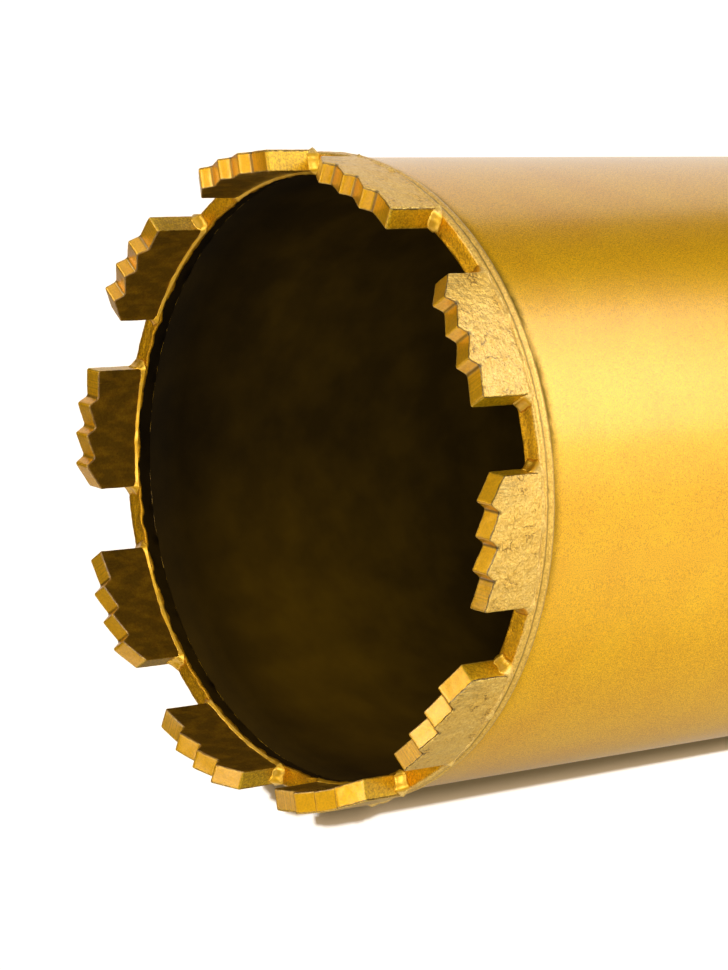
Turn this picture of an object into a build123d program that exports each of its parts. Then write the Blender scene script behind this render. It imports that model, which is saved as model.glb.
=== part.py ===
"""Diamond core bit for wet drilling in concrete.

The bit stands on its hub with the cutting crown up.  The origin is at the middle of the
hub's end face and +Z runs along the bit's axis, out of the mouth.  Lengths are in
millimetres and angles in degrees.
"""

import os
from math import cos, radians, sin

from build123d import *

# --- crown -----------------------------------------------------------------------------
bit_diameter = 123.0  # over the outer faces of the cutting segments
segment_count = 10
segment_length = 24.0  # end face to end face
segment_thickness = 4.1  # outer face to inner face
segment_height = 12.05  # brazed base to the highest crest
first_segment_angle = 348.0  # middle of segment 1, turning from +X towards +Y
placement_error = (1.2, -0.9, -0.2, 0.3, -0.2, 0.0, -0.3, -0.6, 0.5, 0.1)  # set by hand

# --- saw teeth on each segment -----------------------------------------------------------
tooth_count = 4
tooth_pitch = 6.05  # crest to crest
lead_tooth_length = 7.1  # leading end to the next crest
tooth_flank = 1.4  # length of the steep flank, along the segment
tooth_depth = 2.1  # crest to gullet
lead_crest_drop = 1.1  # the crest at the leading end is lower than the others
tail_drop = 3.4  # the trailing end lies this far below the crests
gullet_radius = 0.8
crest_radius = 0.3

# --- braze joint under each segment --------------------------------------------------------
braze_film = 0.25  # thickness of the film between segment and crown ring
braze_fillet = 1.6  # leg of the fillet at each end of the segment
braze_fillet_waist = 0.3  # distance of the fillet's waist from the corner, as a share of its leg

# --- crown ring and barrel -------------------------------------------------------------------
ring_length = 3.3
ring_relief = 0.4  # the segments stand this far proud of the ring, outside
ring_ledge = 0.25  # the ring reaches this far inside the segments
ring_back_chamfer = 0.4
barrel_relief = 1.5  # the barrel is this much smaller in radius than the segments
barrel_wall = 2.5
barrel_length = 450.0
barrel_end_chamfer = 0.8

# --- back plate ---------------------------------------------------------------------------------
plate_thickness = 8.0
plate_recess = 4.0  # depth of the plate inside the end of the barrel
plate_clearance = 0.1  # between the plate's rim and the barrel, in radius
plate_weld_leg = 3.0

# --- threaded hub ---------------------------------------------------------------------------------
thread_major_diameter = 31.75  # 1 1/4 inch
threads_per_inch = 7
hub_diameter = 50.0
hub_body_height = 36.0  # end face to the shoulder under the back plate
hub_spigot_diameter = 40.0
hub_spigot_clearance = 0.05  # between the spigot and the plate, in radius
hub_flat_width = 41.0  # across the two spanner flats
hub_flat_height = 24.0
hub_edge_chamfer = 1.0
thread_lead_in = 1.5
hub_weld_leg = 5.0
weld_bulge = 0.6  # distance of a weld's face from the corner, both ways, as a share of its leg

# --- sizes that follow -------------------------------------------------------------------------------
inch = 25.4
thread_pitch = inch / threads_per_inch
thread_depth = thread_pitch * 0.5413  # five eighths of a sharp 60 degree thread's height
thread_minor_radius = thread_major_diameter / 2 - thread_depth
crown_outer_radius = bit_diameter / 2
crown_inner_radius = crown_outer_radius - segment_thickness
ring_outer_radius = crown_outer_radius - ring_relief
ring_inner_radius = crown_inner_radius - ring_ledge
barrel_outer_radius = crown_outer_radius - barrel_relief
barrel_inner_radius = barrel_outer_radius - barrel_wall

plate_bottom = hub_body_height
plate_top = plate_bottom + plate_thickness
barrel_bottom = plate_bottom - plate_recess
barrel_top = barrel_bottom + barrel_length
ring_top = barrel_top + ring_length
segment_bottom = ring_top + braze_film


def save(part, name):
    """Labels one finished piece and writes it to its own file."""
    part.label = name
    export_step(part, f"parts/{name}.step")


def weld_section(corner_radius, corner_height, leg, outwards):
    """Section of a fillet weld: two straight legs in a corner, and a face that bulges.

    outwards is +1 when the bead lies outside the corner's radius and -1 when inside.
    """
    bulge = leg * weld_bulge
    with BuildLine() as outline:
        Polyline(
            (corner_radius, corner_height),
            (corner_radius + outwards * leg, corner_height),
            (corner_radius + outwards * bulge, corner_height - bulge),
            (corner_radius, corner_height - leg),
            close=True,
        )
    return outline.line


def tooth_corners():
    """Corners of a segment's side, leading end first, and the radius that rounds each one."""
    gullet_height = segment_height - tooth_depth
    lead = -segment_length / 2
    corners = [(lead, segment_height - lead_crest_drop)]
    radii = [crest_radius]
    for tooth in range(1, tooth_count):
        crest = lead + lead_tooth_length + (tooth - 1) * tooth_pitch
        corners += [(crest - tooth_flank, gullet_height), (crest, segment_height)]
        radii += [gullet_radius, crest_radius]
    corners.append((segment_length / 2, segment_height - tail_drop))
    radii.append(crest_radius)
    return corners, radii


def radial_plane(angle, height):
    """Plane on the bit's axis that faces outwards: x along the segment, y up the axis."""
    outwards = (cos(radians(angle)), sin(radians(angle)), 0)
    along = (-sin(radians(angle)), cos(radians(angle)), 0)
    return Plane(origin=(0, 0, height), x_dir=along, z_dir=outwards)


os.makedirs("parts", exist_ok=True)

# A drawn steel tube makes the barrel.
with BuildPart() as barrel_tube:
    with BuildSketch(Plane.XY.offset(barrel_bottom)):
        Circle(barrel_outer_radius)
        Circle(barrel_inner_radius, mode=Mode.SUBTRACT)
    extrude(amount=barrel_length)
    lower_edges = barrel_tube.edges().group_by(Axis.Z)[0]
    chamfer(lower_edges.sort_by(SortBy.RADIUS)[-1], length=barrel_end_chamfer)
save(barrel_tube.part, "barrel_tube")

# The crown ring is butted on the barrel's mouth and stands proud of it, outside and inside.
with BuildPart() as crown_ring:
    with BuildSketch(Plane.XY.offset(barrel_top)):
        Circle(ring_outer_radius)
        Circle(ring_inner_radius, mode=Mode.SUBTRACT)
    extrude(amount=ring_length)
    back_edges = crown_ring.edges().group_by(Axis.Z)[0]
    chamfer(back_edges.sort_by(SortBy.RADIUS)[-1], length=ring_back_chamfer)
save(crown_ring.part, "crown_ring")

# The back plate closes the barrel, a little way up inside it.
with BuildPart() as back_plate:
    with BuildSketch(Plane.XY.offset(plate_bottom)):
        Circle(barrel_inner_radius - plate_clearance)
        Circle(hub_spigot_diameter / 2 + hub_spigot_clearance, mode=Mode.SUBTRACT)
    extrude(amount=plate_thickness)
save(back_plate.part, "back_plate")

with BuildPart() as plate_weld:
    with BuildSketch(Plane.XZ):
        with BuildLine():
            add(weld_section(barrel_inner_radius, plate_bottom, plate_weld_leg, -1))
        make_face()
    revolve(axis=Axis.Z)
save(plate_weld.part, "plate_weld")

# The hub: a turned body with a spigot in the plate, two spanner flats and a tapped hole.
with BuildPart() as threaded_hub:
    with BuildSketch(Plane.XY):
        Circle(hub_diameter / 2)
    extrude(amount=hub_body_height)
    with BuildSketch(Plane.XY):
        Circle(hub_diameter / 2)
        Rectangle(hub_diameter, hub_flat_width, mode=Mode.SUBTRACT)
    extrude(amount=hub_flat_height, mode=Mode.SUBTRACT)
    chamfer(threaded_hub.edges().group_by(Axis.Z)[0], length=hub_edge_chamfer)
    with BuildSketch(Plane.XY.offset(hub_body_height)):
        Circle(hub_spigot_diameter / 2)
    extrude(amount=plate_thickness)
    with BuildSketch(Plane.XY):
        Circle(thread_minor_radius)
    extrude(amount=plate_top, mode=Mode.SUBTRACT)
    rims = threaded_hub.edges().filter_by(GeomType.CIRCLE).group_by(SortBy.RADIUS)
    chamfer(rims[0], length=thread_lead_in)
save(threaded_hub.part, "threaded_hub")

with BuildPart() as hub_weld:
    with BuildSketch(Plane.XZ):
        with BuildLine():
            add(weld_section(hub_diameter / 2, plate_bottom, hub_weld_leg, 1))
        make_face()
    revolve(axis=Axis.Z)
save(hub_weld.part, "hub_weld")

# Each segment is a pressed and sintered block with parallel ends and curved faces.
segment_pitch = 360 / segment_count
crests_and_gullets, corner_radii = tooth_corners()
for number in range(1, segment_count + 1):
    error = placement_error[(number - 1) % len(placement_error)]
    angle = first_segment_angle - (number - 1) * segment_pitch + error

    with BuildPart() as braze:
        with BuildSketch(radial_plane(angle, ring_top)):
            half = segment_length / 2
            toe = half + braze_fillet
            waist = braze_fillet * braze_fillet_waist
            with BuildLine():
                Polyline(
                    (-toe, 0),
                    (toe, 0),
                    (half + waist, waist),
                    (half, braze_fillet),
                    (half, braze_film),
                    (-half, braze_film),
                    (-half, braze_fillet),
                    (-half - waist, waist),
                    close=True,
                )
            make_face()
        extrude(amount=bit_diameter)
        with BuildSketch(Plane.XY.offset(ring_top)):
            Circle(ring_outer_radius)
            Circle(ring_inner_radius, mode=Mode.SUBTRACT)
        extrude(amount=braze_fillet, mode=Mode.INTERSECT)
    save(braze.part, f"braze_{number:02d}")

    with BuildPart() as segment:
        with BuildSketch(radial_plane(angle, segment_bottom)):
            half = segment_length / 2
            with BuildLine():
                FilletPolyline(
                    (-half, 0), *crests_and_gullets, (half, 0), radius=corner_radii
                )
                Line((half, 0), (-half, 0))
            make_face()
        extrude(amount=bit_diameter)
        with BuildSketch(Plane.XY.offset(segment_bottom)):
            Circle(crown_outer_radius)
            Circle(crown_inner_radius, mode=Mode.SUBTRACT)
        extrude(amount=segment_height, mode=Mode.INTERSECT)
    save(segment.part, f"segment_{number:02d}")
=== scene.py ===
from math import asin, atan2, cos, pi, radians, sin, sqrt

import bmesh
import bpy
import numpy as np
from bpy.props import FloatProperty, FloatVectorProperty, IntProperty, PointerProperty
from bpy.types import Operator, Panel, PropertyGroup
from mathutils import Matrix, Vector, noise


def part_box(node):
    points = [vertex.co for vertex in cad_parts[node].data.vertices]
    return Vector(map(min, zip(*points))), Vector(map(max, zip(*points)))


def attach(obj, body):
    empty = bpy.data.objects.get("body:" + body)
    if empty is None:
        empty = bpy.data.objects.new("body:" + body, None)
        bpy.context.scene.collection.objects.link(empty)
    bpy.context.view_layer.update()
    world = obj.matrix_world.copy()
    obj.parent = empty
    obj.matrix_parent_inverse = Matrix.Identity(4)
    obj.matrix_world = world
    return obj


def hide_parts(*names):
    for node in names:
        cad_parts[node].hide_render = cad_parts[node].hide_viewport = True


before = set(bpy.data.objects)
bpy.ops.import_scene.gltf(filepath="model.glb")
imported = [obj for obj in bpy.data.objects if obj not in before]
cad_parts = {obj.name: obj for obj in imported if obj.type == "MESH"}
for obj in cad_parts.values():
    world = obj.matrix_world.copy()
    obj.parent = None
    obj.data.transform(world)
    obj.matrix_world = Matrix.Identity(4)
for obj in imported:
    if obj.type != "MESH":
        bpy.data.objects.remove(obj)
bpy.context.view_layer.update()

bl_info = {
    "name": "Diamond core bit",
    "version": (1, 0, 0),
    "blender": (4, 5, 0),
    "location": "3D View > Sidebar > Core Bit",
    "description": "Dresses a segmented core bit in gold paint and sets it in a small studio",
    "category": "Object",
}

MM = 0.001
SAME_POINT = 1e-7  # metres: points that lie closer are one point
THREAD_DEPTH = 0.5413  # share of the pitch: five eighths of a sharp 60 degree thread's height


# --- small helpers ---


def srgb(code):
    """A hex colour as linear red, green, blue and alpha."""
    parts = [int(code[i : i + 2], 16) / 255 for i in (1, 3, 5)]
    linear = [c / 12.92 if c <= 0.04045 else ((c + 0.055) / 1.055) ** 2.4 for c in parts]
    return (*linear, 1.0)


def in_mm(box):
    """The low and the high corner of a box, in millimetres."""
    return [Vector(corner) / MM for corner in box]


def paint(piece, *materials):
    """Puts materials in a piece's slots, in order."""
    for material in materials:
        piece.data.materials.append(material)


def store(data, name, values):
    """Keeps a value for each point of a mesh, for a node tree to read."""
    data.attributes.new(name, "FLOAT", "POINT").data.foreach_set("value", values)


def blank_from(work, name):
    """Ends a bmesh and keeps it as an object outside the scene, to copy from."""
    data = bpy.data.meshes.new(name)
    work.to_mesh(data)
    work.free()
    return bpy.data.objects.new(name, data)


def in_scene(name, data):
    """An object in the scene."""
    made = bpy.data.objects.new(name, data)
    bpy.context.scene.collection.objects.link(made)
    return made


def mesh_piece(name, vertices, faces, slots=None):
    """A smooth mesh object in the scene, made from points in millimetres."""
    data = bpy.data.meshes.new(name)
    data.from_pydata([tuple(c * MM for c in v) for v in vertices], [], faces)
    if slots is not None:
        data.polygons.foreach_set("material_index", slots)
    work = bmesh.new()
    work.from_mesh(data)
    bmesh.ops.remove_doubles(work, verts=work.verts, dist=SAME_POINT)
    bmesh.ops.recalc_face_normals(work, faces=work.faces)
    work.to_mesh(data)
    work.free()
    data.polygons.foreach_set("use_smooth", [True] * len(data.polygons))
    data.update()
    return in_scene(name, data)


def corners_from(radius, height, slot, *offsets):
    """Points of an outline, by how far each lies outwards of a radius and above a height."""
    return [(radius + out, height + up, slot) for out, up in offsets]


def strip(here, there, count, closed=True):
    """Faces between two rows of points, from the number of each row's first point."""
    pairs = [(i, (i + 1) % count) for i in range(count if closed else count - 1)]
    return [(here + i, there + i, there + j, here + j) for i, j in pairs]


def turned(outline, angles, closed=True, shape=None):
    """Points, faces and slots of an outline of (radius, height, slot) turned about the axis.

    The slot of a point is the material slot of the strip that starts there.  shape takes
    the angle, the radius and the height and gives the radius and height that are used.
    """
    vertices, faces, slots = [], [], []
    count = len(outline)
    for angle in angles:
        for radius, height, _ in outline:
            if shape:
                radius, height = shape(angle, radius, height)
            vertices.append((radius * cos(angle), radius * sin(angle), height))
    for step in range(len(angles)):
        quads = strip(step * count, (step + 1) % len(angles) * count, count, closed)
        faces += quads
        slots += [slot for *_, slot in outline[: len(quads)]]
    return vertices, faces, slots


def lathe(name, outline, steps, shape=None):
    """Turns a closed outline about the axis, in even steps, as a piece."""
    angles = [2 * pi * step / steps for step in range(steps)]
    return mesh_piece(name, *turned(outline, angles, shape=shape))


def rounded(corners, radii, points=4):
    """A closed outline of (x, y) corners with each corner rounded to its own radius."""
    most = 0.45  # the share of a side that the rounding at one of its ends may take
    result = []
    for i, (corner, radius) in enumerate(zip(corners, radii)):
        here = Vector(corner)
        back = Vector(corners[i - 1]) - here
        ahead = Vector(corners[(i + 1) % len(corners)]) - here
        half = back.angle(ahead) / 2
        reach = min(radius / np.tan(half), most * back.length, most * ahead.length)
        radius = reach * np.tan(half)
        middle = here + (back.normalized() + ahead.normalized()).normalized() * radius / sin(half)
        first = here + back.normalized() * reach - middle
        last = here + ahead.normalized() * reach - middle
        turn = first.angle_signed(last)
        for k in range(points + 1):
            spoke = first.copy()
            spoke.rotate(Matrix.Rotation(-turn * k / points, 2))
            result.append(tuple(middle + spoke))
    return result


# --- node trees ---


def node(kind, inputs=None, tree=None, **settings):
    """Adds a node, with its settings, its values and its links from other nodes' sockets.

    Without a tree of its own to go in, it joins the nodes that it is linked from.
    """
    inputs = inputs or {}
    linked = [key for key in inputs if isinstance(inputs[key], bpy.types.NodeSocket)]
    tree = tree or inputs[linked[0]].id_data
    made = tree.nodes.new(kind)
    for name, value in settings.items():
        setattr(made, name, value)
    for key, value in inputs.items():
        if key in linked:
            tree.links.new(value, made.inputs[key])
        else:
            made.inputs[key].default_value = value
    return made


def span(value, low, high, to_low=0.0, to_high=1.0):
    """Maps a value from low..high to to_low..to_high, held at the ends."""
    inputs = {0: value, 1: low, 2: high, 3: to_low, 4: to_high}
    return node("ShaderNodeMapRange", inputs).outputs[0]


def zone(value, low, high, to_low=0.0, to_high=1.0):
    """Maps a length from low..high, in millimetres."""
    return span(value, low * MM, high * MM, to_low, to_high)


def combine(operation, first, second=0.0):
    """One math step on two values."""
    return node("ShaderNodeMath", {0: first, 1: second}, operation=operation).outputs[0]


def times(first, *others):
    """The product of several values."""
    for other in others:
        first = combine("MULTIPLY", first, other)
    return first


def largest(first, *others):
    """The largest of several values."""
    for other in others:
        first = combine("MAXIMUM", first, other)
    return first


def blended(amount, first, second):
    """Two values mixed by an amount."""
    return node("ShaderNodeMix", {0: amount, 2: first, 3: second}).outputs[0]


def mixed(amount, first, second, blend="MIX"):
    """Two colours mixed by an amount."""
    inputs = {0: amount, 6: first, 7: second}
    return node("ShaderNodeMix", inputs, data_type="RGBA", blend_type=blend).outputs[2]


def toned(colour, by):
    """A colour multiplied by another."""
    return mixed(1.0, colour, by, "MULTIPLY")


def patchy(cloud, first, second, low=0.3, high=0.7):
    """Two colours in soft patches, after a noise."""
    return mixed(span(cloud, low, high), first, second)


def grey(value):
    """A value as a grey colour, to darken or lighten another with."""
    return node("ShaderNodeCombineColor", {0: value, 1: value, 2: value}).outputs[0]


def tint(value, low, high, dark, light):
    """A colour to multiply another with: dark where the value is low, light where it is high."""
    return mixed(span(value, low, high), (*dark, 1), (*light, 1))


def mark(place, name):
    """A value that the points of the mesh carry, for the tree that holds the place."""
    tree = place.id_data
    return node("ShaderNodeAttribute", tree=tree, attribute_name=name).outputs["Fac"]


def axes_of(place):
    """The x, y and z of a place."""
    return node("ShaderNodeSeparateXYZ", {0: place}).outputs


def joined(first, second):
    """A place from two values, as its x and y."""
    return node("ShaderNodeCombineXYZ", {0: first, 1: second}).outputs[0]


def radius_of(axes):
    """How far a place lies from the bit's axis."""
    flat = joined(axes[0], axes[1])
    return node("ShaderNodeVectorMath", {0: flat}, operation="LENGTH").outputs["Value"]


def field(place, size, detail=2.0, roughness=0.5):
    """A noise whose lumps are about size millimetres across, as a socket from 0 to 1."""
    inputs = {"Vector": place, "Scale": 1 / (size * MM), "Detail": detail, "Roughness": roughness}
    return node("ShaderNodeTexNoise", inputs).outputs[0]


def drifted(value, cloud, reach):
    """A length that a noise pushes to and fro, over reach millimetres in all."""
    push = times(combine("SUBTRACT", cloud, 0.5), reach * MM)
    return combine("ADD", value, push)


def bumped(height, depth, before=None):
    """A bump of depth millimetres, on top of an earlier one."""
    inputs = {"Height": height, "Distance": depth * MM, "Strength": 1.0}
    if before is not None:
        inputs["Normal"] = before
    return node("ShaderNodeBump", inputs).outputs[0]


# --- segments, solder, thread and welds ---


def crest_places(sizes):
    """Where the crests behind the leading tooth lie along a segment, in millimetres."""
    first = sizes.lead_tooth_length - sizes.segment_length / 2
    return [first + tooth * sizes.tooth_pitch for tooth in range(sizes.tooth_count - 1)]


def tooth_outline(sizes):
    """Side of a segment as (along, up) points in millimetres, with its corners rounded."""
    foot_round, tail_round, crest_round, gullet_round = 0.3, 0.55, 0.42, 0.7
    half = sizes.segment_length / 2
    top = sizes.segment_height
    corners = [(half, 0), (half, top - sizes.tail_drop)]
    radii = [foot_round, tail_round]
    for crest in reversed(crest_places(sizes)):
        corners += [(crest, top), (crest - sizes.tooth_flank, top - sizes.tooth_depth)]
        radii += [crest_round, gullet_round]
    corners += [(-half, top - sizes.lead_crest_drop), (-half, 0)]
    radii += [crest_round, foot_round]
    return rounded(corners, radii)


def distance_to_line(points, start, end):
    """Distance of every point from a stretch of straight line, as an array."""
    start, along = np.array(start), np.array(end) - np.array(start)
    share = np.clip((points - start) @ along / (along @ along), 0, 1)
    return np.linalg.norm(points - start - share[:, None] * along, axis=1)


def segment_blank(sizes, base, inner, thickness):
    """One segment at angle 0, with its edges eased and its faces cut into small squares.

    Its points carry their place on the segment: along it, up from its foot, how deep below
    its outer face, and how far from an edge, which wears and takes a painted highlight, and from a
    gullet.
    """
    outline = tooth_outline(sizes)
    count = len(outline)
    outwards = []
    for i in range(count):
        ahead = Vector(outline[(i + 1) % count]) - Vector(outline[i - 1])
        outwards.append(Vector((ahead.y, -ahead.x)).normalized())
    ease = sizes.edge_radius
    turns = np.linspace(0, pi / 2, 5)
    rings = [(ease * (1 - cos(turn)), ease * (1 - sin(turn))) for turn in turns]
    rings += [(thickness - depth, inset) for depth, inset in reversed(rings)]
    work = bmesh.new()
    loops = []
    for depth, inset in rings:
        loop = []
        for (u, z), out in zip(outline, outwards):
            loop.append(work.verts.new((depth, u - out.x * inset, z - out.y * inset)))
        loops.append(loop)
    for low, high in zip(loops, loops[1:]):
        for i in range(count):
            j = (i + 1) % count
            work.faces.new((low[i], low[j], high[j], high[i]))
    work.faces.new(loops[0])
    work.faces.new(loops[-1])
    pitch = sizes.mesh_step
    half = sizes.segment_length / 2
    cuts = [((0, u, 0), (0, 1, 0)) for u in np.arange(-half + pitch, half, pitch)]
    cuts += [((0, 0, z), (0, 0, 1)) for z in np.arange(pitch, sizes.segment_height, pitch)]
    cuts += [((x, 0, 0), (1, 0, 0)) for x in np.arange(2 * ease, thickness - ease, pitch)]
    for point, normal in cuts:
        everything = work.verts[:] + work.edges[:] + work.faces[:]
        bmesh.ops.bisect_plane(work, geom=everything, plane_co=point, plane_no=normal)
    bmesh.ops.remove_doubles(work, verts=work.verts, dist=SAME_POINT / MM)

    places = np.array([tuple(v.co) for v in work.verts])
    from_side = np.full(len(places), np.inf)
    for start, end in zip(outline, outline[1:] + outline[:1]):
        from_side = np.minimum(from_side, distance_to_line(places[:, 1:], start, end))
    from_face = np.minimum(places[:, 0], thickness - places[:, 0])
    from_gullet = np.full(len(places), half)
    for crest in crest_places(sizes):
        gullet = (crest - sizes.tooth_flank, sizes.segment_height - sizes.tooth_depth)
        from_gullet = np.minimum(from_gullet, np.linalg.norm(places[:, 1:] - gullet, axis=1))
    marks = {
        "from_gullet": from_gullet,
        "along": places[:, 1],
        "up": places[:, 2],
        "deep": thickness - places[:, 0],
        "from_edge": from_side + from_face,
    }
    for v in work.verts:
        reach = inner + v.co.x
        v.co = (sqrt(reach * reach - v.co.y**2) * MM, v.co.y * MM, (base + v.co.z) * MM)
    bmesh.ops.recalc_face_normals(work, faces=work.faces)
    blank = blank_from(work, "segment_blank")
    for name, values in marks.items():
        store(blank.data, name, (values * MM).astype(np.float32))
    return blank


def braze_blank(sizes, base, inner, thickness):
    """Solder squeezed out round the foot of one segment at angle 0, with a fillet at each end."""
    half = sizes.segment_length / 2
    outer = thickness - 0.15
    buried = 0.5  # how far the bead reaches into the segment, and down into the ring outside
    near_end = 1.2  # the bead swells over this length towards each end
    lengthwise = np.linspace(-half, half, 41)
    across = np.linspace(0, outer, 9)[1:-1]
    # Round the foot: distance from the axis, place along, and the way that faces outwards.
    path = [(inner + outer, along, 1, 0) for along in lengthwise]
    path += [(inner + depth, half, 0, 1) for depth in across[::-1]]
    path += [(inner, along, -1, 0) for along in lengthwise[::-1]]
    path += [(inner + depth, -half, 0, -1) for depth in across]
    vertices, faces = [], []
    for reach, along, out, end in path:
        corner = min(1.0, max(0.0, (abs(along) - half + near_end) / near_end))
        lump = noise.noise(Vector((reach * 0.9, along * 0.7, 3.1)))
        swell = noise.noise(Vector((along * 0.3, reach * 0.3, 7.7)))
        if end:
            leg = rise = sizes.braze_leg * (1 + 0.3 * lump)
            full = 0.3
        elif out < 0:
            leg = 0.42 + 0.25 * corner + 0.2 * lump
            rise = 0.55 + 0.5 * corner + 0.25 * lump
            full = 0.55
        else:
            leg = max(0.2, 0.5 + 0.25 * corner + 0.9 * swell + 0.25 * lump)
            rise = max(0.2, 0.5 + 0.4 * corner + 1.5 * swell + 0.5 * lump)
            full = 0.6
        skirt = -buried if out > 0 else -0.1
        section = [(-buried, skirt), (leg - 0.3, skirt), (leg, 0.03)]
        for t in (0.2, 0.4, 0.6, 0.8):
            a, b, c = (1 - t) ** 2, 2 * t * (1 - t), t * t
            section.append((a * leg + b * leg * full, b * rise * full + c * rise))
        section += [(0.0, rise), (-buried, rise * 0.9)]
        for side, up in section:
            radius = reach + out * side
            u = along + end * side
            vertices.append((sqrt(radius * radius - u * u), u, base + up))
    ring = len(path)
    size = len(vertices) // ring
    for i in range(ring):
        here, there = i * size, (i + 1) % ring * size
        for k in range(size):
            j = (k + 1) % size
            faces.append((here + k, here + j, there + j, there + k))
    piece = mesh_piece("braze_blank", vertices, faces)
    bpy.context.scene.collection.objects.unlink(piece)
    return piece


def tapped_bore(angles, low, high, minor, major, pitch, mouth):
    """Points and faces of a threaded bore: one section of the thread, wound along the helix.

    Both ends are held to the bore's length and opened by a cone up to the mouth's radius.
    """
    # The section is (radius, share of the pitch): a flat crest, a flank, a flat root, a flank.
    section = [(minor, 0.0), (minor, 0.125), (major, 0.4375), (major, 0.5625)]
    for share in (0.33, 0.67):
        radius = minor + (major - minor) * share
        section += [(radius, 0.125 + 0.3125 * share), (radius, 1 - 0.4375 * share)]
    section.sort(key=lambda point: point[1])
    turns_below = 2
    turns = int((high - low) / pitch) + turns_below + 1
    steps = len(angles)
    count = len(section)
    vertices, faces = [], []
    for step in range(turns * steps + 1):
        angle = angles[step % steps]
        wound = step // steps + angle / (2 * pi)
        for radius, share in section:
            height = low + (wound - turns_below + share) * pitch
            height = min(high, max(low, height))
            radius = max(radius, mouth - (height - low), mouth - (high - height))
            vertices.append((radius * cos(angle), radius * sin(angle), height))
    for step in range(turns * steps):
        here, there = step * count, (step + 1) * count
        faces += strip(here, there, count, closed=False)
        above, beyond = here + steps * count, there + steps * count
        if beyond < len(vertices):
            faces.append((here + count - 1, there + count - 1, beyond, above))
    return vertices, faces


def hub_angles(steps, corners):
    """Even steps round the hub, with a step at every corner of its flats."""
    angles = {2 * pi * step / steps for step in range(steps)}
    for corner in corners:
        angles |= {corner, pi - corner, pi + corner, 2 * pi - corner}
    return sorted(angles)


def puddle_blank(name, radius, height, across, along, outwards):
    """One weld puddle at angle 0: an egg that leans back along the seam."""
    work = bmesh.new()
    bmesh.ops.create_uvsphere(work, u_segments=14, v_segments=9, radius=MM)
    lean = Matrix.Rotation(radians(outwards * 45), 3, "Y") @ Matrix.Rotation(radians(28), 3, "Z")
    for v in work.verts:
        v.co = lean @ Vector((v.co.x * across * 0.86, v.co.y * along, v.co.z * across))
        v.co += Vector((radius * MM, 0, height * MM))
    return blank_from(work, name)


def foot_angles():
    """Angle of the middle of each CAD segment's foot, by the segment's node name."""
    angles = {}
    for name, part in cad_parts.items():
        if name.startswith("segment_"):
            low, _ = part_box(name)
            foot = [v.co for v in part.data.vertices if v.co.z < low[2] + 0.01 * MM]
            middle = sum(foot, Vector()) / len(foot)
            angles[name] = atan2(middle.y, middle.x)
    return angles


def around_the_crown():
    """Node tree: one copy of a blank at each point's angle, roughened, joined and painted."""
    tree = bpy.data.node_groups.new("around_the_crown", "GeometryNodeTree")
    inputs = {"Geometry": "Geometry", "Blank": "Object"}
    inputs.update(dict.fromkeys(("Dent depth", "Dent size"), "Float"))
    inputs.update(dict.fromkeys(("Grain depth", "Grain size", "Seed"), "Float"))
    inputs["Material"] = "Material"
    for label, kind in inputs.items():
        tree.interface.new_socket(label, in_out="INPUT", socket_type="NodeSocket" + kind)
    tree.interface.new_socket("Geometry", in_out="OUTPUT", socket_type="NodeSocketGeometry")
    given = node("NodeGroupInput", tree=tree).outputs
    angle = node("GeometryNodeInputNamedAttribute", {"Name": "angle"}, tree, data_type="FLOAT")
    turn = node("ShaderNodeCombineXYZ", {"Z": angle.outputs["Attribute"]}).outputs[0]
    blank = node("GeometryNodeObjectInfo", {"Object": given["Blank"], "As Instance": True})
    amounts = []
    for kind in ("Dent", "Grain"):
        scale = combine("DIVIDE", 1.0, given[kind + " size"])
        inputs = {"W": given["Seed"], "Scale": scale, "Detail": 2.0}
        cloud = node("ShaderNodeTexNoise", inputs, noise_dimensions="4D").outputs[0]
        centred = combine("SUBTRACT", cloud, 0.5)
        amounts.append(times(centred, given[kind + " depth"]))
    normal = node("GeometryNodeInputNormal", tree=tree).outputs[0]
    inputs = {0: normal, "Scale": combine("ADD", *amounts)}
    push = node("ShaderNodeVectorMath", inputs, operation="SCALE").outputs[0]
    made = given["Geometry"]
    for kind, inputs in (
        ("GeometryNodeInstanceOnPoints", {"Instance": blank.outputs["Geometry"], "Rotation": turn}),
        ("GeometryNodeRealizeInstances", {}),
        ("GeometryNodeSetPosition", {"Offset": push}),
        ("GeometryNodeSetShadeSmooth", {}),
        ("GeometryNodeSetMaterial", {"Material": given["Material"]}),
    ):
        made = node(kind, {0: made, **inputs}).outputs[0]
    node("NodeGroupOutput", {"Geometry": made})
    return tree


def grown(name, angles, blank, material, dents, grain, seed):
    """A piece of its own mesh: copies of a blank round the crown, roughened and painted.

    dents and grain are each a depth and a size in millimetres.
    """
    start = bpy.data.meshes.new("crown_points")
    start.from_pydata([(0, 0, 0)] * len(angles), [], [])
    store(start, "angle", list(angles))
    piece = in_scene(name, start)
    tree = bpy.data.node_groups.get("around_the_crown") or around_the_crown()
    modifier = piece.modifiers.new(tree.name, "NODES")
    modifier.node_group = tree
    values = {"Blank": blank, "Seed": seed, "Material": material}
    for kind, (depth, size) in (("Dent", dents), ("Grain", grain)):
        values.update({kind + " depth": depth * MM, kind + " size": size * MM})
    sockets = {s.name: s for s in tree.interface.items_tree if s.in_out == "INPUT"}
    for label, value in values.items():
        modifier[sockets[label].identifier] = value
    bpy.context.view_layer.update()
    evaluated = piece.evaluated_get(bpy.context.evaluated_depsgraph_get())
    result = bpy.data.meshes.new_from_object(evaluated)
    piece.modifiers.remove(modifier)
    piece.data = result
    result.name = name
    return piece


# --- finishes ---


def blank_material(name):
    """A material with an empty node tree."""
    made = bpy.data.materials.new(name)
    made.use_nodes = True
    made.node_tree.nodes.clear()
    return made, made.node_tree


def new_finish(name):
    """A material with an empty node tree, and the place on the object as a socket."""
    made, tree = blank_material(name)
    return made, node("ShaderNodeTexCoord", tree=tree).outputs["Object"]


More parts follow.
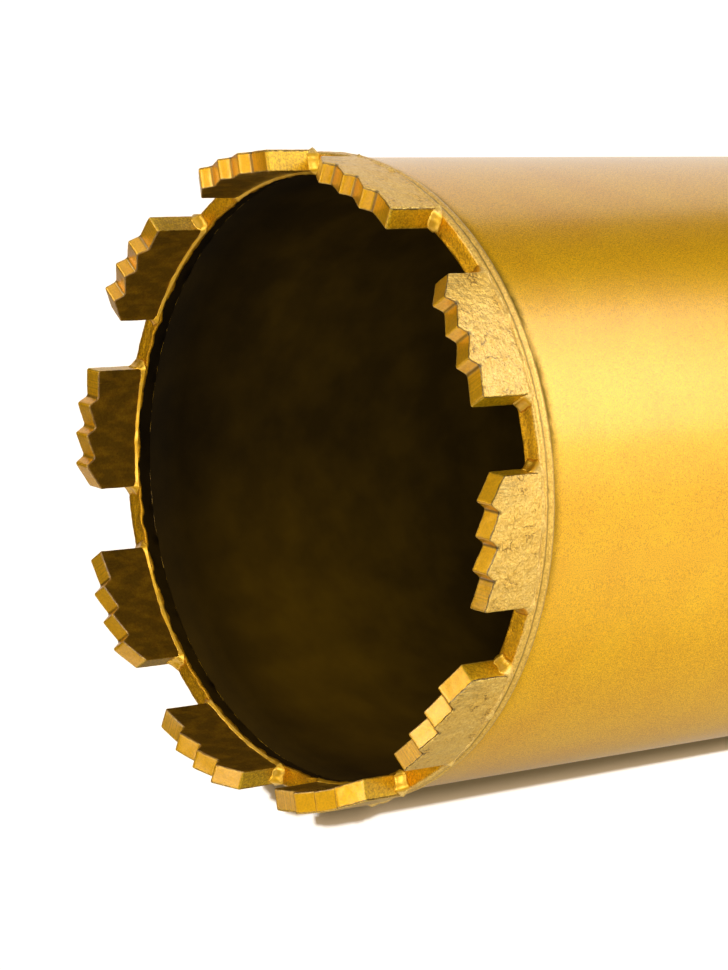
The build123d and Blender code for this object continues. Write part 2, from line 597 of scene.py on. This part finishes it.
def end_in(shader):
    """Ends a material in a shader node."""
    node("ShaderNodeOutputMaterial", {"Surface": shader.outputs[0]})


def principled(colour, normal, **values):
    """Ends a material in one Principled shader; _ stands for a space in the inputs' names."""
    inputs = {"Base Color": colour, "Normal": normal}
    inputs.update({name.replace("_", " "): value for name, value in values.items()})
    end_in(node("ShaderNodeBsdfPrincipled", inputs))


def gold_enamel(name, colours, seam=None):
    """Metallic gold enamel, sprayed.

    What the eye sees: a warm yellow with tiny bright and dark flakes, a soft sheen that
    pales towards the rim of a round surface, a faint orange peel, and an olive painted
    shade, partly dirt, in the seam at the crown ring, where a seam's height is given in
    millimetres.
    """
    material, place = new_finish(name)
    flake = field(place, 0.24, 2, 0.6)
    base = patchy(field(place, 14, 3), colours.gold, colours.gold_deep)
    base = toned(base, tint(flake, 0.34, 0.66, (0.68, 0.62, 0.36), (1.18, 1.21, 1.3)))
    peel = bumped(field(place, 1.6, 2), 0.012)
    gloss = 1.0
    if seam:
        # Painted shade, partly dirt: the seam under the ring is darkened, more towards +X, and
        # loses its coat there.
        side, _, height = axes_of(place)
        edge = drifted(height, field(place, 1.2, 3), 1.2)
        dirt = zone(edge, seam - 2.8, seam - 1.1)
        dirt = combine("POWER", dirt, 1.5)
        patches = span(field(place, 9), 0.4, 0.6, 0.5, 1)
        dirt = times(dirt, patches, zone(side, -20, 20, 0.15, 1))
        base = mixed(dirt, base, colours.seam_dirt_and_shade)
        gloss = span(dirt, 0, 1, 1, 0)
    principled(
        base,
        bumped(flake, 0.03, peel),
        Metallic=0.35,
        Roughness=0.38,
        Specular_IOR_Level=0.15,
        Coat_Weight=gloss,
        Coat_Roughness=0.21,
        Coat_Normal=bumped(flake, 0.012, peel),
    )
    return material


def ring_gold(name, colours, inner, outer, face):
    """Gold enamel over the rough turned and brazed crown ring.

    What the eye sees: a deep gold, scratched and pitted face, a pale gritty lip on the
    outside with olive painted shade, partly dirt, on its back edge and in its groove, and thick
    dark paint along the inner rim.
    """
    material, place = new_finish(name)
    axes = axes_of(place)
    uneven = field(place, 1.6, 3)
    edge = drifted(radius_of(axes), uneven, 0.8)
    grain = field(place, 0.4, 3, 0.65)
    lip = zone(edge, outer - 0.7, outer - 0.3)
    crumbs = zone(edge, inner + 0.7, inner + 0.35)
    base = mixed(lip, colours.gold_worked, colours.gold_lip)
    base = mixed(times(crumbs, 0.8), base, colours.burr)
    base = toned(base, tint(grain, 0.3, 0.7, (0.6, 0.48, 0.22), (1.2, 1.2, 1.25)))
    # Painted shade, partly dirt: the back edge and the groove take the seam's dark colour.
    back = zone(axes[2], face - 2.6, face - 3.2, 0, 0.8)
    height = drifted(axes[2], uneven, 0.5)
    groove = combine("SUBTRACT", height, (face - 1.55) * MM)
    groove = zone(combine("ABSOLUTE", groove), 0.35, 0.1, 0, 0.7)
    groove = times(groove, lip)
    base = mixed(largest(back, groove), base, colours.seam_dirt_and_shade)
    lumps = bumped(field(place, 1.1, 3, 0.6), 0.12)
    normal = bumped(grain, 0.07, lumps)
    metal, gloss = span(lip, 0, 1, 0.85, 0.45), span(lip, 0, 1, 0.1, 0.5)
    principled(base, normal, Metallic=metal, Roughness=0.42, Coat_Weight=gloss, Coat_Roughness=0.3)
    return material


def bare_inside(name, colours):
    """Unpainted steel inside the tube, browned, with painted light in deep gold on the low side.

    What the eye sees: nearly black brown that swallows light, a little lighter and yellower
    on the low side near the mouth, where light is painted in, and darker just under the ring, where
    shade is painted in.
    """
    material, place = new_finish(name)
    axes = axes_of(place)
    cloud = field(place, 9, 3)
    base = patchy(cloud, colours.inside, colours.inside_worn, 0.35)
    # Painted light: the low side near the mouth is lightened towards deep gold.
    low_side = zone(axes[0], -10, -55)
    near_mouth = zone(axes[2], 400, 480)
    low_side_painted_light = times(low_side, near_mouth, span(cloud, 0.2, 0.8, 0.6, 1.0), 0.24)
    base = mixed(low_side_painted_light, base, colours.gold_deep)
    # Painted shade: the inside grows darker towards the ring at the mouth.
    base = toned(base, grey(zone(axes[2], 455, 478, 1, 0.25)))
    rough = bumped(field(place, 0.8, 3), 0.03)
    principled(base, rough, Roughness=0.85, Specular_IOR_Level=0.1)
    return material


def sintered_gold(name, colours, sizes):
    """Thin gold enamel over pressed and sintered segments; their inner faces are bare.

    What the eye sees: pale, dry gold with a fine gritty tooth and folds darkened by painted shade
    outside, deep gold on the saw teeth with painted shade, partly dirt, in the gullets, dark grainy
    ends, pale edges, worn and with a painted highlight, lines left by a grinding wheel at both
    ends, and dull olive metal with bronze smears on the side that faces the core.
    """
    material, place = new_finish(name)
    along, up, deep = mark(place, "along"), mark(place, "up"), mark(place, "deep")
    # Pale edges: wear, together with a painted highlight along every edge.
    wear_and_edge_highlight = zone(mark(place, "from_edge"), 0.45, 0.15)
    # Painted shade, partly dirt, in the corners between teeth.
    gullet = zone(mark(place, "from_gullet"), 0.55, 0.2)
    half = sizes.segment_length / 2
    thickness = sizes.segment_thickness

    grain = field(place, 0.42, 4, 0.7)
    cloud = field(place, 4, 3)
    ragged = drifted(deep, field(place, 1.1), 0.5)
    outside = zone(ragged, 0.35, 0.1)
    inside = zone(ragged, thickness - 0.35, thickness - 0.1)
    ends = zone(combine("ABSOLUTE", along), half - 0.3, half - 0.1)

    # The grinding wheel's lines run up the segment, near both of its ends.
    lines = field(joined(along, times(up, 0.06)), 0.31, 3, 0.7)
    ground = times(zone(along, half - 6.5, half - 3.0), outside)
    leading = zone(along, 5.9 - half, 5.5 - half, 0, 0.6)
    ground = largest(ground, combine("SUBTRACT", leading, outside))
    ground = times(ground, zone(up, 3.0, 7.5))

    # Painted shade in the folds of the pressed faces: dark lines where a noise crosses its middle.
    fold = combine("SUBTRACT", field(place, 2.6, 3), 0.5)
    folds = span(combine("ABSOLUTE", fold), 0.03, 0.006)
    folds = times(folds, span(cloud, 0.5, 0.66))

    tooth = patchy(cloud, colours.gold_tooth, colours.gold_worked)
    pale = patchy(cloud, colours.pale_gold, colours.gold_lip)
    pale = mixed(times(folds, 0.8), pale, colours.fold_shade)
    base = mixed(outside, tooth, pale)
    for cover, share, over in (
        (ends, 0.75, colours.end_shade),
        (wear_and_edge_highlight, 0.55, colours.pale_gold),
        (gullet, 0.7, colours.gullet_dirt_and_shade),
    ):
        base = mixed(times(cover, share), base, over)
    smear = field(joined(along, times(up, 0.4)), 2.2, 3)
    dull = patchy(smear, colours.segment_bare, colours.segment_stain, 0.45)
    base = mixed(inside, base, dull)
    gritty = tint(grain, 0.3, 0.68, (0.72, 0.58, 0.3), (1.15, 1.15, 1.2))
    glitter = tint(grain, 0.35, 0.7, (0.55, 0.5, 0.3), (1.3, 1.35, 1.4))
    fine = tint(grain, 0.3, 0.68, (0.84, 0.78, 0.6), (1.1, 1.12, 1.2))
    flat_face = largest(outside, inside)
    base = toned(base, mixed(ends, mixed(flat_face, fine, gritty), glitter))
    scored = grey(span(lines, 0.35, 0.65, 0.6, 1.1))
    base = toned(base, mixed(ground, (1, 1, 1, 1), scored))

    lumps = field(place, 2.0, 3, 0.65)
    sunk = combine("SUBTRACT", 1, folds)
    normal = None
    for height, depth in (
        (lumps, 0.04),
        (times(lumps, outside), 0.8),
        (times(sunk, outside), 0.12),
        (grain, 0.03),
        (times(grain, outside), 0.09),
        (times(lines, ground), 0.15),
    ):
        normal = bumped(height, depth, normal)
    sheen = span(ends, 0, 1, 0.9, 0.35)
    principled(
        base,
        normal,
        Metallic=span(flat_face, 0, 1, 0.75, 0.6),
        Roughness=span(inside, 0, 1, 0.46, 0.6),
        Specular_IOR_Level=0.4,
        Coat_Weight=blended(outside, sheen, span(grain, 0.35, 0.6, 0.2, 0.7)),
        Coat_Roughness=0.22,
    )
    return material


def solder_gold(name, colours, outer):
    """Silver solder under gold enamel: run smooth by heat, and gritty outside the crown.

    What the eye sees: soft, glossy fillets of deep gold at the segments' ends, and outside
    a pale rough bead that runs into the faces which it joins.
    """
    material, place = new_finish(name)
    radius = radius_of(axes_of(place))
    outside = zone(radius, outer - 0.4, outer - 0.05)
    grain = field(place, 0.42, 4, 0.7)
    base = patchy(field(place, 1.4, 2), colours.solder, colours.gold_worked)
    base = mixed(outside, base, colours.pale_gold)
    gritty = tint(grain, 0.3, 0.68, (0.62, 0.46, 0.2), (1.2, 1.2, 1.25))
    base = mixed(outside, base, toned(base, gritty))
    normal = bumped(field(place, 0.9, 2), 0.04)
    principled(
        base,
        bumped(times(grain, outside), 0.08, normal),
        Metallic=span(outside, 0, 1, 0.8, 0.45),
        Roughness=0.42,
        Coat_Weight=0.5,
        Coat_Roughness=0.25,
    )
    return material


def cut_steel(name, colours):
    """Bare steel cut by a tap, with a film of oil.

    What the eye sees: grey metal with a soft gleam along each thread.
    """
    material, place = new_finish(name)
    base = patchy(field(place, 2.5, 3), colours.steel, colours.steel_dark, 0.35)
    scratches = bumped(field(place, 0.3, 2), 0.01)
    principled(base, scratches, Metallic=1.0, Roughness=0.34)
    return material


def turned_gold(name, colours):
    """Gold enamel over turned steel.

    What the eye sees: the gold of the barrel, with the fine rings that the lathe left.
    """
    material, place = new_finish(name)
    axes = axes_of(place)
    rings = field(joined(radius_of(axes), axes[2]), 0.45, 2, 0.6)
    flake = field(place, 0.3, 2, 0.6)
    base = patchy(field(place, 14, 3), colours.gold, colours.gold_deep)
    base = toned(base, grey(span(flake, 0.32, 0.68, 0.72, 1.16)))
    normal = bumped(flake, 0.03, bumped(rings, 0.07))
    principled(base, normal, Metallic=0.4, Roughness=0.36, Coat_Weight=0.5, Coat_Roughness=0.28)
    return material


# --- settings ---


def length(name, description, default):
    """A size property in millimetres."""
    return FloatProperty(name=name, description=description + ", mm", default=default, min=0.0)


def colour(name, description, default):
    """A colour property, from a hex value."""
    return FloatVectorProperty(
        name=name, description=description, default=srgb(default), size=4, subtype="COLOR"
    )


class CoreBitSizes(PropertyGroup):
    """Sizes of the dressed pieces, in millimetres."""

    segment_length: length("Segment length", "End face to end face", 24.0)
    segment_height: length("Segment height", "Foot to highest crest", 12.05)
    tooth_count: IntProperty(name="Teeth", description="Teeth on each segment", default=4)
    tooth_pitch: length("Tooth pitch", "Crest to crest", 6.05)
    lead_tooth_length: length("Leading tooth", "Leading end to the next crest", 7.1)
    tooth_flank: length("Flank length", "Length of the steep flank", 1.4)
    tooth_depth: length("Tooth depth", "Crest to gullet", 2.1)
    lead_crest_drop: length("Leading crest drop", "How much lower the first crest lies", 1.1)
    tail_drop: length("Trailing drop", "From the crests down to the trailing end", 3.4)
    edge_radius: length("Edge radius", "Rounding of the segments' edges", 0.28)
    mesh_step: length("Mesh step", "Spacing of the cuts across a segment", 0.6)
    dent_depth: length("Dent depth", "Unevenness of the pressed faces", 0.22)
    grain_depth: length("Grain depth", "Depth of the gritty grain", 0.12)
    crown_diameter: length("Crown diameter", "Over the segments' outer faces", 123.0)
    segment_thickness: length("Segment thickness", "Outer face to inner face", 4.1)
    barrel_wall: length("Barrel wall", "Wall of the tube", 2.5)
    ring_wall: length("Ring wall", "Width of the crown ring's face", 4.15)
    flat_width: length("Flat width", "Across the hub's spanner flats", 41.0)
    flat_height: length("Flat height", "End face to the top of the flats", 24.0)
    hub_shoulder: length("Hub shoulder", "End face to the back plate", 36.0)
    spigot_radius: length("Spigot radius", "The hub's spigot in the back plate", 20.0)
    hub_chamfer: length("Hub chamfer", "Chamfer round the hub's end", 1.0)
    thread_diameter: length("Thread diameter", "Over the roots of the hub's thread", 31.75)
    thread_pitch: length("Thread pitch", "Crest to crest", 25.4 / 7)
    hub_weld_leg: length("Hub weld leg", "Weld between hub and back plate", 5.0)
    plate_weld_leg: length("Plate weld leg", "Weld between back plate and barrel", 3.0)
    braze_leg: length("Braze leg", "Leg of the solder fillets at the segments' ends", 1.8)


class CoreBitColours(PropertyGroup):
    """Colours of paint and metal."""

    gold: colour("Gold", "Gold enamel, light", "#F6BB02")
    gold_deep: colour("Deep gold", "Gold enamel, where it lies thick", "#EFB002")
    pale_gold: colour("Pale gold", "Thin gold on the segments", "#F8D26C")
    inside: colour("Inside", "Browned steel inside the tube", "#3A2903")
    inside_worn: colour("Inside, worn", "Lighter patches inside the tube", "#4C3705")
    gold_tooth: colour("Tooth gold", "Gold enamel on the saw teeth", "#FFBC06")
    gold_worked: colour("Worked gold", "Deep gold on turned and ground metal", "#F2B206")
    gold_lip: colour("Lip gold", "Gritty gold on the ring's outside", "#F4C858")
    end_shade: colour("End shade", "Raw grainy ends of the segments", "#CCA614")
    # A painted shade, partly dirt, for the corners between teeth.
    gullet_dirt_and_shade: colour("Gullet dirt and shade", "Dirt in the corners between teeth", "#4A3204")
    # A painted shade for the folds of the pressed faces.
    fold_shade: colour("Fold shade", "Deep gold in the folds of the pressed faces", "#8A6208")
    burr: colour("Burr", "Thick deep gold on the inner rim", "#C68E08")
    # A painted shade, partly dirt, for the seam behind the ring.
    seam_dirt_and_shade: colour("Seam dirt and shade", "Olive dirt in the seam behind the ring", "#7A6008")
    segment_bare: colour("Bare segment", "Sintered metal facing the core", "#8A6406")
    segment_stain: colour("Stained segment", "Overspray on the bare metal", "#B8860E")
    solder: colour("Solder", "Gold-painted silver solder", "#EAB42E")
    steel: colour("Steel", "Bare steel in the thread", "#B4B2AC")
    steel_dark: colour("Dark steel", "Oily steel in the thread", "#8C8982")
    floor: colour("Floor", "Studio floor", "#FAFAFA")
    floor_shade: colour("Floor shade", "What the floor keeps in the object's shadow", "#463308")


# --- pieces ---


class CoreBitOperator:
    """What all the builders share."""

    bl_options = {"REGISTER"}

    def settings(self):
        """The sizes and the colours in use."""
        return bpy.context.scene.core_bit_sizes, bpy.context.scene.core_bit_colours


def repaint(name, material):
    """Gives a CAD piece that stays in view a material of its own."""
    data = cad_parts[name].data
    data.materials.clear()
    data.materials.append(material)


class COREBIT_OT_barrel(CoreBitOperator, Operator):
    """Turns the barrel and the crown ring with eased edges, painted outside and bare inside"""

    bl_idname = "core_bit.barrel"
    bl_label = "Barrel and crown ring"

    def execute(self, context):
        sizes, colours = self.settings()
        low, high = in_mm(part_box("barrel_tube"))
        outer, foot, top = high.x, low.z, high.z
        inner = outer - sizes.barrel_wall
        outline = corners_from(outer, foot, 0, (-0.8, 0), (0, 0.8))
        outline += [(outer, z, 0) for z in np.linspace(foot + 12, top - 4, 24)]
        outline += corners_from(outer, top, 0, (0, -0.9), (-0.12, -0.4), (-0.45, -0.1), (-0.9, 0))
        outline += [(inner, z, 1) for z in (top, *np.linspace(top - 8, foot + 15, 12))]
        outline += corners_from(inner, foot, 0, (0, 6), (0, 0.3), (0.3, 0))
        barrel = lathe("barrel_shell", outline, 256)
        bare = bare_inside("browned_steel_with_painted_light_and_shade", colours)
        paint(barrel, gold_enamel("barrel_gold_enamel_on_drawn_steel", colours, top), bare)
        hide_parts("barrel_tube")
        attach(barrel, "root")

        low, high = in_mm(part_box("crown_ring"))
        outer, back, face = high.x, low.z, high.z
        inner = outer - sizes.ring_wall
        groove = (0, 1.15), (-0.2, 1.5), (-0.2, 1.85), (0, 2.15)
        lip = (0, -0.75), (-0.08, -0.38), (-0.3, -0.12), (-0.65, 0), (-1.6, 0)
        rim = (1.6, 0), (0.75, 0), (0.45, 0.03), (0.2, 0), (0.05, -0.15)
        outline = corners_from(outer, back, 0, (-0.45, 0), (-0.12, 0.18), (0, 0.5), *groove)
        outline += corners_from(outer, face, 0, *lip) + corners_from(inner, face, 0, *rim)
        outline += corners_from(inner, face, 1, (0, -0.5), (0.15, -1.2))
        outline += corners_from(inner, back, 1, (0.5, 0.15), (0.55, 0))

        def hand_made(angle, radius, height):
            """Lumps all over, and a burr that grows towards the inner rim."""
            place = Vector((radius * cos(angle), radius * sin(angle), height)) * 0.45
            lump = noise.noise(place) * 0.08 + noise.noise(place * 4.1) * 0.05
            lumps = 0.7 * noise.noise(place * 0.6) + 0.4 * noise.noise(place * 1.9)
            burr = max(0, inner + 1.2 - radius) * (lumps + 0.1)
            if height <= back + 0.01:
                return radius + lump, height
            return radius + lump + burr * 0.3, height + lump * 0.7 + burr * 0.4

        ring = lathe("crown_ring_turned", outline, 720, hand_made)
        worked = ring_gold("crown_gold_enamel_on_turned_steel", colours, inner, outer, face)
        paint(ring, worked, bare)
        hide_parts("crown_ring")
        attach(ring, "root")
        return {"FINISHED"}


class COREBIT_OT_segments(CoreBitOperator, Operator):
    """Sets the saw-toothed segments round the crown"""

    bl_idname = "core_bit.segments"
    bl_label = "Segments"

    def execute(self, context):
        sizes, colours = self.settings()
        angles = foot_angles()
        foot = in_mm(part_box("segment_01"))[0].z
        inner = sizes.crown_diameter / 2 - sizes.segment_thickness
        blank = segment_blank(sizes, foot, inner, sizes.segment_thickness)
        finish = sintered_gold("gold_enamel_on_sintered_segment", colours, sizes)
        dents, grain = (sizes.dent_depth, 4.5), (sizes.grain_depth, 1.3)
        crown = grown("segments_set", angles.values(), blank, finish, dents, grain, seed=3.7)
        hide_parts(*angles)
        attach(crown, "root")
        return {"FINISHED"}


class COREBIT_OT_braze(CoreBitOperator, Operator):
    """Runs solder round the foot of every segment"""

    bl_idname = "core_bit.braze"
    bl_label = "Braze joints"

    def execute(self, context):
        sizes, colours = self.settings()
        ring = in_mm(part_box("crown_ring"))[1]
        inner = sizes.crown_diameter / 2 - sizes.segment_thickness
        # The bead starts a little inside the segment's own outline.
        blank = braze_blank(sizes, ring.z, inner - 0.05, sizes.segment_thickness - 0.3)
        finish = solder_gold("gold_enamel_on_silver_solder", colours, ring.x)
        angles = foot_angles().values()
        beads = grown("braze_joints", angles, blank, finish, (0.45, 2.6), (0.12, 0.9), seed=8.2)
        nodes = [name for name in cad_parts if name.startswith("braze_")]
        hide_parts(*nodes)
        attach(beads, "root")
        return {"FINISHED"}


class COREBIT_OT_hub(CoreBitOperator, Operator):
    """Turns and taps the hub, and paints the back plate"""

    bl_idname = "core_bit.hub"
    bl_label = "Back plate and hub"

    def execute(self, context):
        sizes, colours = self.settings()
        low, high = in_mm(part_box("threaded_hub"))
        outer, foot, top = high.x, low.z, high.z
        half_flat, chamfer = sizes.flat_width / 2, sizes.hub_chamfer
        shoulder = foot + sizes.hub_shoulder
        step = foot + sizes.flat_height
        root = sizes.thread_diameter / 2
        crest = root - THREAD_DEPTH * sizes.thread_pitch
        mouth = root + 0.3
        spigot = sizes.spigot_radius

        def with_flats(angle, radius, height):
            """Cuts the flats, with their chamfer, out of the round body below the step."""
            if height < step - 0.001 and radius > half_flat - chamfer:
                limit = half_flat - max(0, foot + chamfer - height)
                radius = min(radius, limit / max(abs(sin(angle)), 1e-6))
            return radius, height

        outline = corners_from(mouth, foot, 0, (0, 0), (1.5, 0))
        outline += corners_from(outer - chamfer, foot, 0, (-0.1, 0), (0, 0.02))
        outline += corners_from(outer, foot + chamfer, 0, (-0.04, -0.04), (0, 0.1))
        outline += [(outer, z, 0) for z in np.linspace(foot + 3, step - 0.6, 6)]
        outline += corners_from(outer, step, 0, (0, -0.002), (0, 0), (0, 0.5))
        outline += [(outer, shoulder, 0), (spigot, shoulder, 0), (spigot, top - 0.6, 0)]
        outline += [(spigot - 0.5, top, 0), (mouth + 1, top, 0), (mouth, top, 0)]
        corners = [asin(half_flat / outer), asin((half_flat - chamfer) / (outer - chamfer))]
        angles = hub_angles(180, corners)
        vertices, faces, slots = turned(outline, angles, closed=False, shape=with_flats)
        bore, bore_faces = tapped_bore(angles, foot, top, crest, root, sizes.thread_pitch, mouth)
        first = len(vertices)
        vertices += bore
        faces += [tuple(i + first for i in face) for face in bore_faces]
        slots += [1] * len(bore_faces)
        hub = mesh_piece("tapped_hub", vertices, faces, slots)
        painted = turned_gold("hub_gold_enamel_on_turned_steel", colours)
        paint(hub, painted, cut_steel("bare_tapped_steel", colours))
        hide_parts("threaded_hub")
        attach(hub, "root")
        repaint("back_plate", painted)
        return {"FINISHED"}


class COREBIT_OT_welds(CoreBitOperator, Operator):
    """Lays overlapping weld puddles along the two round seams at the back"""

    bl_idname = "core_bit.welds"
    bl_label = "Welds"

    def execute(self, context):
        sizes, colours = self.settings()
        painted = gold_enamel("weld_gold_enamel", colours)
        # A puddle's depth, width, length and distance to the next, as shares of the weld's leg.
        sunk, wide, long, spacing = 0.26, 0.68, 0.5, 0.36
        for seam, name, leg, outwards in (
            ("hub_weld", "hub_weld_puddles", sizes.hub_weld_leg, 1),
            ("plate_weld", "plate_weld_puddles", sizes.plate_weld_leg, -1),
        ):
            high = in_mm(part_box(seam))[1]
            corner = high.x - leg if outwards > 0 else high.x
            middle = corner + outwards * leg * sunk
            egg = (middle, high.z - leg * sunk, leg * wide, leg * long)
            blank = puddle_blank(name + "_blank", *egg, outwards)
            count = int(2 * pi * middle / (leg * spacing))
            drift = [0.2 * noise.noise(Vector((i * 0.7, leg, 0))) for i in range(count)]
            turns = [2 * pi * (i + share) / count for i, share in enumerate(drift)]
            beads = grown(name, turns, blank, painted, (0.5, 3.0), (0.1, 0.8), seed=5.1)
            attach(beads, "root")
            repaint(seam, painted)
        return {"FINISHED"}


# --- studio ---


def sheet(name, corners, material):
    """A flat piece of the studio with four corners, in metres."""
    data = bpy.data.meshes.new(name)
    data.from_pydata(corners, [], [(0, 1, 2, 3)])
    made = in_scene(name, data)
    paint(made, material)
    return made


def floor_cloth(name, colours):
    """White paper: what the eye sees is a white floor whose shadows stay warm.

    In the object's own reflections it is pale towards +X and dark towards -X.
    """
    material, place = new_finish(name)
    rays = node("ShaderNodeLightPath", tree=place.id_data).outputs
    far_side = zone(axes_of(place)[0], -380, -20, 0.1, 0.75)
    mirrored = times(rays["Is Glossy Ray"], far_side)
    shown = largest(rays["Is Camera Ray"], mirrored, rays["Is Transmission Ray"])
    cloth = mixed(shown, srgb("#606060"), colours.floor)
    paper = node("ShaderNodeBsdfDiffuse", {"Color": cloth}).outputs[0]
    inputs = {"Color": colours.floor_shade, "Strength": rays["Is Camera Ray"]}
    glow = node("ShaderNodeEmission", inputs).outputs[0]
    end_in(node("ShaderNodeAddShader", {0: paper, 1: glow}))
    return material


def flag_cloth(name):
    """Black cloth: what the eye sees of it is a dark band in the reflections."""
    material, tree = blank_material(name)
    end_in(node("ShaderNodeBsdfDiffuse", {"Color": (0.003, 0.003, 0.003, 1)}, tree))
    return material


def studio_air():
    """A world that is white where it is seen or mirrored, and lights things only dimly."""
    world = bpy.data.worlds.new("studio_air")
    world.use_nodes = True
    tree = world.node_tree
    tree.nodes.clear()
    rays = node("ShaderNodeLightPath", tree=tree).outputs
    seen = (rays[f"Is {kind} Ray"] for kind in ("Camera", "Glossy", "Transmission"))
    air = node("ShaderNodeBackground", {"Color": srgb("#F2DAB4"), "Strength": 0.1}, tree)
    white = node("ShaderNodeBackground", {"Color": (1, 1, 1, 1), "Strength": 1.0}, tree)
    both = node("ShaderNodeMixShader", {0: largest(*seen), 1: air.outputs[0], 2: white.outputs[0]})
    node("ShaderNodeOutputWorld", {"Surface": both.outputs[0]})
    return world


def set_camera(scene):
    """The camera, a long lens that looks down at the mouth, turned on its side."""
    data = bpy.data.cameras.new("camera")
    data.sensor_fit = "AUTO"
    data.sensor_width = 36.0
    data.lens = 120.26
    data.clip_start, data.clip_end = 0.02, 30
    camera = in_scene("camera", data)
    camera.location = (0.15373, -0.44534, 0.86904)
    camera.rotation_euler = (-0.103616, 0.868806, -1.369851)
    scene.camera = camera


class COREBIT_OT_studio(CoreBitOperator, Operator):
    """Lays the floor, hangs the lamps and sets the camera"""

    bl_idname = "core_bit.studio"
    bl_label = "Studio"

    def execute(self, context):
        _, colours = self.settings()
        scene = context.scene
        scene.view_settings.view_transform = "Standard"

        cloth = floor_cloth("white_studio_floor", colours)
        floor = sheet("studio_floor", [(-6, -6, 0), (6, -6, 0), (6, 6, 0), (-6, 6, 0)], cloth)
        scene.world = studio_air()

        # The suns light the floor alone, and the soft boxes everything but the floor.
        on_floor = bpy.data.collections.new("floor_only")
        on_floor.objects.link(floor)
        off_floor = bpy.data.collections.new("all_but_the_floor")
        off_floor.objects.link(floor)
        off_floor.collection_objects[0].light_linking.link_state = "EXCLUDE"
        aim = Vector((0, 0, 0.44))

        def lamp(name, kind, azimuth, elevation, distance, energy, **settings):
            """A lamp that faces the crown, in degrees, metres and watts."""
            light = bpy.data.lights.new(name, kind)
            light.energy = energy
            for key, value in settings.items():
                setattr(light, key, value)
            made = in_scene(name, light)
            a, e = radians(azimuth), radians(elevation)
            back = Vector((cos(a) * cos(e), sin(a) * cos(e), sin(e)))
            made.location = aim + back * distance
            made.rotation_euler = back.to_track_quat("Z", "Y").to_euler()
            made.visible_camera = False
            made.light_linking.receiver_collection = on_floor if kind == "SUN" else off_floor
            return made

        lamp("floor_light", "SUN", -62.85, 38.8, 2, 4.4, angle=radians(0.15))
        lamp("floor_glow", "SUN", -63.15, 38.8, 2, 1.7, angle=radians(0.6), color=(1, 0.72, 0.44))
        for name, azimuth, elevation, distance, energy, size in (
            ("front_softbox", -71, 52, 1.2, 7.2, 0.7),
            ("right_softbox", 25, 60, 1.2, 1.3, 0.5),
            ("slope_card", 47, 59, 1.2, 3.1, 0.5),
            ("left_softbox", -161, 60, 1.2, 2.2, 0.5),
            ("back_softbox", 109, 60, 1.2, 1.1, 0.5),
            ("low_softbox", -46, -28, 0.55, 0.75, 0.6),
            ("low_middle", -42, -28, 0.55, 0.9, 0.36),
            ("fill_softbox", -118, -25, 0.55, 2.65, 0.3),
        ):
            made = lamp(name, "AREA", azimuth, elevation, distance, energy, size=size)
            made.visible_diffuse = name != "slope_card"
            made.visible_glossy = name != "fill_softbox"

        cloth = flag_cloth("black_flag_cloth")
        side = (0.14, -0.25), (1.2, -0.5), (1.2, 0.44), (0.14, 0.1)
        roof = (-3, -3), (3, -3), (3, 3), (-3, 3)
        for name, corners in (
            ("side_flag", [(x, y, 0.01) for x, y in side]),
            ("roof_flag", [(x, y, 2.2) for x, y in roof]),
            ("back_flag", [(-3, 3, 0.5), (3, 3, 0.5), (3, 3, 2.2), (-3, 3, 2.2)]),
        ):
            made = sheet(name, corners, cloth)
            made.visible_camera = made.visible_diffuse = made.visible_shadow = False
        set_camera(scene)
        return {"FINISHED"}


# --- add-on ---


class COREBIT_PT_panel(Panel):
    """Buttons for every piece, with the sizes and colours"""

    bl_label = "Core bit"
    bl_idname = "COREBIT_PT_panel"
    bl_space_type = "VIEW_3D"
    bl_region_type = "UI"
    bl_category = "Core Bit"

    def draw(self, context):
        for operator in operators:
            self.layout.operator(operator.bl_idname)
        for group in (context.scene.core_bit_sizes, context.scene.core_bit_colours):
            box = self.layout.box()
            for name in group.__annotations__:
                box.prop(group, name)


operators = (
    COREBIT_OT_barrel,
    COREBIT_OT_segments,
    COREBIT_OT_braze,
    COREBIT_OT_hub,
    COREBIT_OT_welds,
    COREBIT_OT_studio,
)
classes = (CoreBitSizes, CoreBitColours, *operators, COREBIT_PT_panel)


def register():
    """Registers the classes and hangs the settings on the scene."""
    for item in classes:
        bpy.utils.register_class(item)
    bpy.types.Scene.core_bit_sizes = PointerProperty(type=CoreBitSizes)
    bpy.types.Scene.core_bit_colours = PointerProperty(type=CoreBitColours)


def unregister():
    """Takes back what register did."""
    del bpy.types.Scene.core_bit_colours
    del bpy.types.Scene.core_bit_sizes
    for item in reversed(classes):
        bpy.utils.unregister_class(item)


def main():
    """Builds everything in order."""
    register()
    bpy.ops.core_bit.barrel()
    bpy.ops.core_bit.segments()
    bpy.ops.core_bit.braze()
    bpy.ops.core_bit.hub()
    bpy.ops.core_bit.welds()
    bpy.ops.core_bit.studio()


if __name__ == "__main__":
    main()
